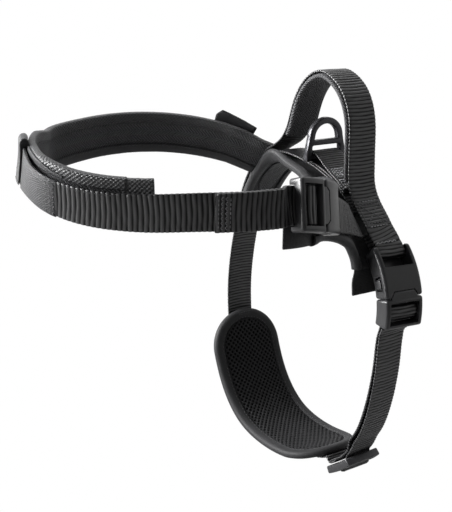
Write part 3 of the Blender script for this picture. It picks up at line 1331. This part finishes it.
# The far girth strap carried on under the pad to the slider
join_path = np.vstack([
    TORSO.map([PAD_STOP - 16, PAD_STOP - 9, PAD_STOP - 3], 0, [-0.9, -1.0, -1.4]),
    on_side(SLIDER, [(16.0, -4.6), (12.5, -4.8), (9.0, -4.9), (6.0, -5.0)]),
])
strap("girth_strap_join", soften(resample(join_path, 0.9), 3), YAWED, node=EXTRA)

# ---- stitching: kinds of row ----
THREADS = {}  # group: rings of each of its stitches


def stitch(group, path, normal, length, gap, radius, sink=0.1):
    """A row of thread stitches along a path that lies on a surface."""
    path = np.asarray(path, float)
    normal = np.asarray(normal, float) * np.ones_like(path)
    lengths = walk(path)
    if lengths[-1] < length:
        return
    count = int((lengths[-1] + gap) / (length + gap))
    start = (lengths[-1] - count * (length + gap) + gap) / 2
    angles = np.linspace(0, 2 * np.pi, 7)[:-1]
    fat = radius * np.array([0.45, 0.9, 1.0, 1.0, 0.9, 0.45])
    dip = -radius * np.array([1.5, 0.35, 0.0, 0.0, 0.35, 1.5])
    for i in range(count):
        places = start + i * (length + gap) + np.linspace(0, length, 6)
        points, up = sample(places, lengths, path), unit(sample(places, lengths, normal))
        side = unit(np.cross(unit(np.gradient(points, axis=0)), up))
        centre = points + up * (dip - sink + radius * 0.35)[:, None]
        round_thread = (np.cos(angles)[None, :, None] * side[:, None]
                        + np.sin(angles)[None, :, None] * up[:, None] * 0.8)
        rings = centre[:, None] + fat[:, None, None] * round_thread
        THREADS.setdefault(group, []).append(rings)


def zigzag(group, path, normal, forward, swing, pitch, **thread):
    """Short slanting stitches to and fro across a line."""
    lengths = walk(path)
    count = int(lengths[-1] / pitch)
    points = sample(np.linspace(0, lengths[-1], count + 1), lengths, path)
    signs = np.where(np.arange(count + 1) % 2, 1.0, -1.0)
    points = points + signs[:, None] * swing * np.asarray(forward, float)
    for start, end in zip(points[:-1], points[1:]):
        length = float(np.linalg.norm(end - start)) * 0.94
        stitch(group, np.linspace(start, end, 6), normal, length=length, gap=0.01, **thread)


def sew_across(group, ribbon, stops, out, half, shift=0.0, side=1, count=50, **thread):
    """Rows across a ribbon at each stop; a swing makes them zigzags."""
    across = np.linspace(-half, half, count) + shift
    for along, height in np.broadcast(stops, out):
        path = ribbon.map(np.full(count, along), across, height)
        _, tangent, _, normal = ribbon.frame(along)
        if "swing" in thread:
            zigzag(group, path, side * normal[0], tangent[0], **thread)
        else:
            stitch(group, path, side * normal[0], **thread)


def sew_along(group, ribbon, along, rows, out, side=1, **thread):
    """Rows along a ribbon, one for each place across it."""
    for across in rows:
        stitch(group, ribbon.map(along, across, out), side * ribbon.frame(along)[3], **thread)


def on_strap(line, kept, across, side):
    """Points and normals on one face of a strap, at kept indices along it."""
    path, sideways, normal = line
    points = path[kept] + across[:, None] * sideways[kept] + side * WEB_T / 2 * normal[kept]
    return points, side * normal[kept]


def strap_across(line, along, side):
    i = int(np.abs(walk(line[0]) - along).argmin())
    return on_strap(line, i, np.linspace(-10.4, 10.4, 50), side)


def strap_along(line, start, end, left, right, side):
    lengths = walk(line[0])
    kept = (lengths >= start) & (lengths <= end)
    return on_strap(line, kept, np.linspace(left, right, int(kept.sum())), side)


# ---- stitching: chest loop ----
tape_seams = np.array([TAPE_START + 1.6, TAPE_START + 4.6, TAPE_START + 7.6,
                       LEASH_LOOP + 14.5, LEASH_LOOP + 31.5])
sew_across("front_tape", CHEST, tape_seams, web_out(tape_seams) + WEB_T / 2 + 0.42, 12.2,
           count=60, swing=1.1, pitch=1.7, radius=0.26)
sew_along("front_loop", CHEST, stations(LEASH_LOOP - 11, LEASH_LOOP + 10, 1.0), (-10.0, -4.0),
          LOOP_OUT + 0.5, length=1.9, gap=0.7, radius=0.24)

# doubled end of the chest webbing: two straight rows, two zigzags between them
for seams, thread in (
    (np.array([39.5, 46.5]), dict(length=2.1, gap=0.7, radius=0.27)),
    (np.array([41.8, 44.4]), dict(swing=0.8, pitch=1.5, radius=0.24)),
):
    sew_across("chest_tail", CHEST, seams, tail_out(seams) + WEB_T / 2 + 0.02, 10.6, **thread)

# sleeve: rows beside the two bindings on the inside, and across its end
along = np.arange(SLEEVE_START + 3, SLEEVE_END - 3, 0.6)
sew_along("chest_sleeve", CHEST, along, (9.8 + lift_top(along), -9.8 + lift(along)), -6.0,
          side=-1, length=2.4, gap=0.8, radius=0.26)
for seam, out, shift in ((SLEEVE_START + 2.0, -5.3, 4.0), (SLEEVE_START - 2.2, -4.75, 2.5),
                         (TAB_START + 2.0, -4.75, 2.5)):
    sew_across("chest_sleeve", CHEST, seam, out, 12.5, shift=shift, side=-1,
               length=2.3, gap=0.8, radius=0.26)
along = np.arange(SLEEVE_START + 6, TAPE_START - 4, 0.6)
sew_along("chest_webbing_edge", CHEST, along, (-10.8, 10.8), web_out(along) + WEB_T / 2 - 0.1,
          length=2.2, gap=1.0, radius=0.2)

# ---- stitching: handle, a box with a cross at its near foot and bars at its far one ----
sew_across("handle_foot", HANDLE, (33.4, 12.2), 0.2, 8.5, length=1.7, gap=1.1, radius=0.34)
sew_across("handle_foot", HANDLE, -1.0, 0.2, 9.5, swing=0.7, pitch=1.9, radius=0.3)
sew_across("handle_rows", HANDLE, (30.8, 14.8), 0.16, 9.6, length=2.0, gap=0.8, radius=0.32)
sew_along("handle_rows", HANDLE, np.arange(12, 34, 0.6), (-9.8, 9.8), 0.14,
          length=2.1, gap=0.8, radius=0.3)
diagonal = np.linspace(-9.0, 9.0, 60)
sew_along("handle_rows", HANDLE, np.linspace(14.5, 31, 60), (-diagonal, diagonal), 0.18,
          length=2.1, gap=0.8, radius=0.32)
sew_across("handle_foot", HANDLE, HANDLE.length - np.array([8, 22, 36]), 0.14, 10.4,
           length=2.1, gap=0.7, radius=0.3)

# ---- stitching: keeper, zigzag bars and a cross on its upper layer ----
keeper_normal = KEEPER[2][int(len(KEEPER[2]) * 0.8)]
keeper_side = 1.0 if keeper_normal[2] > 0 else -1.0
keeper_end = walk(KEEPER[0])[-1]
for back_off in (2.0, 4.2, 7.4, 9.6, 12.8, 15.0, 17.8, 20.0, 22.2):
    zigzag("keeper", *strap_across(KEEPER, keeper_end - back_off, keeper_side),
           forward=(0, 0.8, 0.4), swing=1.0, pitch=1.6, radius=0.3, sink=-0.06)
for left in (9.4, -9.4):
    row = strap_along(KEEPER, keeper_end - 20, keeper_end - 4, left, -left, keeper_side)
    stitch("keeper", *row, length=2.0, gap=0.7, radius=0.3, sink=-0.05)

# ---- stitching: leg webbing, a box and a cross beside the saddle ----
leg_side = 1.0 if LEG_STRAP[2][20][1] < 0 else -1.0
for along in (6.0, 8.4, 27.0, 29.4):
    stitch("leg_webbing", *strap_across(LEG_STRAP, along, leg_side),
           length=2.0, gap=0.7, radius=0.27)
# start and end along the strap, places across it at those ends
for ends in ((6, 29, -10.4, -10.4), (6, 29, 10.4, 10.4), (9, 26.5, 9.6, -9.6),
             (9, 26.5, -9.6, 9.6)):
    stitch("leg_webbing", *strap_along(LEG_STRAP, *ends, leg_side),
           length=2.0, gap=0.7, radius=0.26)

# ---- stitching: girth pad, round its binding on both faces, and two bars at its top ----
pad_row = PAD_LOOP - 7.4 * PAD_AWAY
pad_row = np.vstack([pad_row, pad_row[:1]])
for out, side in ((PAD_BOTTOM - 0.42, -1), (PAD_TOP + 0.1, 1)):
    sew_along("girth_pad", TORSO, pad_row[:, 0], (pad_row[:, 1],), out, side=side,
              length=2.3, gap=0.9, radius=0.25)
sew_across("girth_pad", TORSO, (PAD_START + 2.6, PAD_START + 4.2), PAD_BOTTOM - 0.6, 7,
           side=-1, count=40, length=1.5, gap=0.35, radius=0.24)
sew_along("girth_strap", TORSO, np.arange(PAD_START + 12, PAD_STOP - 20, 0.7), (-10.6, 10.6),
          0.02, length=2.4, gap=0.9, radius=0.24)


# ---- stitching: saddle ----
def edge_row(line, side):
    """A row beside a binding of the saddle, on its outer (1) or inner (-1) face."""
    points, away = on_edge(line, np.arange(3.0, walk(line)[-1] - 3.0, 0.8))
    along, x = (points - 3.8 * away).T
    normal = surface_normal(saddle, along, x)
    normal = normal * np.sign((normal * TORSO.frame(along)[3]).sum(1, keepdims=True))
    depth = UNDERLAY_T / 2 + TAPE_INSET + 0.55
    stitch("saddle_edge", saddle(along, x) + side * depth * normal, side * normal,
           length=2.3, gap=0.8, radius=0.25)


for line in (front, rear, corner):
    for side in (1, -1):
        edge_row(line, side)
saddle_seams = (stop(-44, -14), stop(-41, -11), stop(62, 11), stop(79, -4))
sew_across("saddle_webbing", TORSO, saddle_seams, 0.02, 10.5, length=2.1, gap=0.7, radius=0.26)
sew_along("saddle_webbing", TORSO, np.arange(saddle_seams[0], saddle_seams[2], 0.7),
          (-10.4, 10.4), 0.02, length=2.3, gap=0.9, radius=0.24)
sew_along("far_tab", CHEST, np.arange(FAR_TAB + 3, FAR_TAB_END, 0.7), (-11.0, 17.0), 5.35,
          length=2.2, gap=0.9, radius=0.24)

# Threads that are not the plain one
THREAD_LOOKS = {
    "handle_foot": "pale_sewing_thread", "keeper": "pale_sewing_thread",
    "leg_webbing": "soft_sewing_thread", "handle_rows": "soft_sewing_thread",
    "chest_tail": "soft_sewing_thread",
}


def sew_up():
    """One object for each group of stitches."""
    for group, stitches in THREADS.items():
        verts, faces = [], []
        for rings in stitches:
            faces += tube_faces(*rings.shape[:2], base=len(verts))
            verts.extend(rings.reshape(-1, 3))
        uv = np.vstack([ring_uv(rings) for rings in stitches])
        look = THREAD_LOOKS.get(group, "sewing_thread")
        write("stitching_" + group, verts, faces, look, uv=uv, node=EXTRA)


sew_up()

# ---- each piece to its body ----
CHEST_BEND = ("harness", "chest_male", (-152.0, -62.0, 15.0), (-116.0, -116.0, 14.0))
HANDLE_BEND = ("harness", "handle", (-1.0, 0.0, 18.0), (-1.0, 0.0, 74.0))
# Pieces that bend between two bodies: the bodies, and where the bend starts and ends
BENDS = {
    "chest_webbing": CHEST_BEND,
    "stitching_chest_tail": CHEST_BEND,
    "handle_webbing": HANDLE_BEND,
    "handle_lining": HANDLE_BEND,
    "stitching_handle_foot": HANDLE_BEND,
    "stitching_handle_rows": HANDLE_BEND,
    "girth_strap_near_lower": ("harness", "tri_glide", NEAR_GIRTH.map(NEAR_GIRTH.length - 17)[0],
                               SLIDER.map(-9.0)[0]),
    "girth_strap_near": ("harness", "girth_male", (0.0, -45.0, -160.0), (0.0, -86.0, -98.0)),
}
bpy.context.view_layer.update()
for obj, name, node in PIECES:
    if name in BENDS:
        first, second, start, end = BENDS[name]
        tuple(0.001 * x for x in start)
        tuple(0.001 * x for x in end)
        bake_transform(obj)
    else:
        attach(obj, BODY_OF.get(node, "harness"))

# ---- stage (metres): pale floor curving up into a pale wall ----
FLOOR_Z = CAD_BOX[0].z - 0.002
AZIMUTH, ELEVATION = math.radians(-32.6), math.radians(16.0)  # of the camera
FRONT_GLOW, BACK_GLOW = 0.03, 0.75  # light given by the stage, camera's side and behind
FLOOR_R, CURVE_R, WALL_TOP = 2.2, 0.9, 4.0


def stage_material():
    """Pale to the eye; as a light it is bright behind the object, dim on the camera's side."""
    shader = Shader("pale_stage")
    surface = shader.surface
    surface["Base Color"].default_value = (0.2, 0.2, 0.2, 1)
    surface["Roughness"].default_value = 0.9
    surface["Specular IOR Level"].default_value = 0.1
    geometry = shader.add("ShaderNodeNewGeometry")
    away = shader.add("ShaderNodeVectorMath", "DOT_PRODUCT")
    away.inputs[1].default_value = (-math.sin(AZIMUTH), math.cos(AZIMUTH), 0.0)
    shader.feed(away.inputs[0], geometry.outputs["Position"])
    surface["Emission Color"].default_value = (1, 1, 1, 1)
    glow = shader.ramp(away.outputs["Value"], -0.8, 2.4, FRONT_GLOW, BACK_GLOW)
    shader.feed(surface["Emission Strength"], glow)
    seen = shader.add("ShaderNodeEmission", Strength=1.0)
    rays = shader.add("ShaderNodeLightPath")
    mix = shader.add("ShaderNodeMixShader")
    nodes = shader.tree.nodes
    shader.feed(mix.inputs[0], rays.outputs["Is Camera Ray"])
    shader.feed(mix.inputs[1], nodes["Principled BSDF"].outputs[0])
    shader.feed(mix.inputs[2], seen.outputs[0])
    shader.feed(nodes["Material Output"].inputs["Surface"], mix.outputs[0])
    return shader.material


def backdrop():
    mesh = bpy.data.meshes.new("floor")
    count = 64
    profile = [(1.6, 0.0), (FLOOR_R, 0.0)]  # radius, height
    profile += [(FLOOR_R + CURVE_R * math.sin(turn), CURVE_R * (1 - math.cos(turn)))
                for turn in np.linspace(0.15, math.pi / 2, 8)]
    profile += [(FLOOR_R + CURVE_R, WALL_TOP)]
    angles = [2 * math.pi * i / count for i in range(count)]
    verts = [(0, 0, 0)] + [(radius * math.cos(angle), radius * math.sin(angle), z)
                           for radius, z in profile for angle in angles]
    faces = [(0, 1 + i, 1 + (i + 1) % count) for i in range(count)]
    for ring in range(len(profile) - 1):
        for i in range(count):
            j, k = 1 + ring * count + i, 1 + ring * count + (i + 1) % count
            faces.append((j, j + count, k + count, k))
    mesh.from_pydata(verts, [], faces)
    mesh.shade_smooth()
    obj = bpy.data.objects.new("floor", mesh)
    obj.location = (-0.1, 0.0, FLOOR_Z)
    mesh.materials.append(stage_material())
    bpy.context.scene.collection.objects.link(obj)


backdrop()

# ---- camera, looking from the front near side ----
BACK = Vector((math.sin(AZIMUTH) * math.cos(ELEVATION), -math.cos(AZIMUTH) * math.cos(ELEVATION),
               math.sin(ELEVATION)))
RIGHT = Vector((math.cos(AZIMUTH), math.sin(AZIMUTH), 0.0))
UP = BACK.cross(RIGHT)
TARGET = Vector((-0.09435, 0.0, -0.04765))
DISTANCE = 0.710
camera = bpy.data.objects.new("camera", bpy.data.cameras.new("camera"))
camera.data.sensor_width = 36.0
camera.data.lens = 67.8515625
camera.data.clip_start, camera.data.clip_end = 0.01, 30.0
pose = Matrix((RIGHT, UP, BACK)).transposed().to_4x4()
pose.translation = TARGET + BACK * DISTANCE
camera.matrix_world = pose
bpy.context.scene.collection.objects.link(camera)
bpy.context.scene.camera = camera

# ---- lights ----
# Name, direction from the target (right, up, towards the camera), distance, size, power
LAMPS = [
    ("key_left", (-1.0, 0.45, 0.0), 1.3, 0.6, 58.0),
    ("left_front", (-0.92, 0.12, 0.38), 1.3, 0.45, 19.0),
    ("top_soft", (0.1, 1.0, -0.05), 1.3, 0.9, 9.0),
    ("front_fill", (-0.55, 0.45, 1.0), 1.6, 1.0, 4.2),
    ("right_soft", (1.0, 0.15, 0.15), 1.5, 1.3, 2.6),
    ("low_left", (-0.9, -0.35, -0.45), 1.3, 0.8, 6.0),
]
for name, (right, up, back), distance, size, power in LAMPS:
    data = bpy.data.lights.new(name, "AREA")
    data.shape, data.size, data.energy = "SQUARE", size, power
    lamp = bpy.data.objects.new(name, data)
    direction = (RIGHT * right + UP * up + BACK * back).normalized()
    lamp.location = TARGET + direction * distance
    lamp.rotation_mode = "QUATERNION"
    lamp.rotation_quaternion = direction.to_track_quat("Z", "Y")
    bpy.context.scene.collection.objects.link(lamp)
    lamp.visible_camera = False

world = bpy.data.worlds.new("studio")
bpy.context.scene.world = world
world.use_nodes = True
background = world.node_tree.nodes["Background"].inputs
background["Color"].default_value = (1, 1, 1, 1)
background["Strength"].default_value = 0.10
bpy.context.scene.view_settings.view_transform = "Standard"
